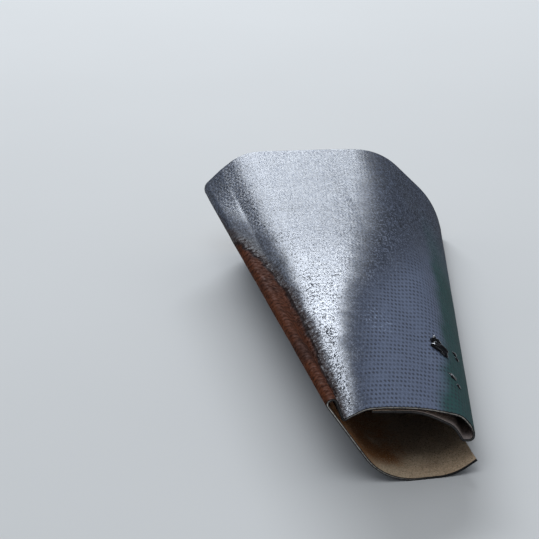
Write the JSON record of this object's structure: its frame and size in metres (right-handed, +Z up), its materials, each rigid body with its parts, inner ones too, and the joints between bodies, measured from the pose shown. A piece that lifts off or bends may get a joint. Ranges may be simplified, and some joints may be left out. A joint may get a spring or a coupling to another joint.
{
  "type": "roofing felt roll",
  "caption": "Metre-wide sheet of torch-on roofing felt, loosely rolled on itself, tight at one end and open at the other, with its tail lying flat on the floor.",
  "frame": {"origin": "under the middle of the rolled sheet's box, on the floor it lies on", "axes": "+Z up, +Y along the roll from its tight front end to its open back end, +X from the fold at the left to the hooked side at the right"},
  "size_m": [0.4712, 1, 0.203],
  "materials": {
    "felt": "slate-grey burn-off film with a fine embossed dot pattern outside, fine tan sand inside, black bitumen between them at the cut edges"
  },
  "bodies": {
    "root": {"felt_sheet": "felt"}
  },
  "joints": []
}
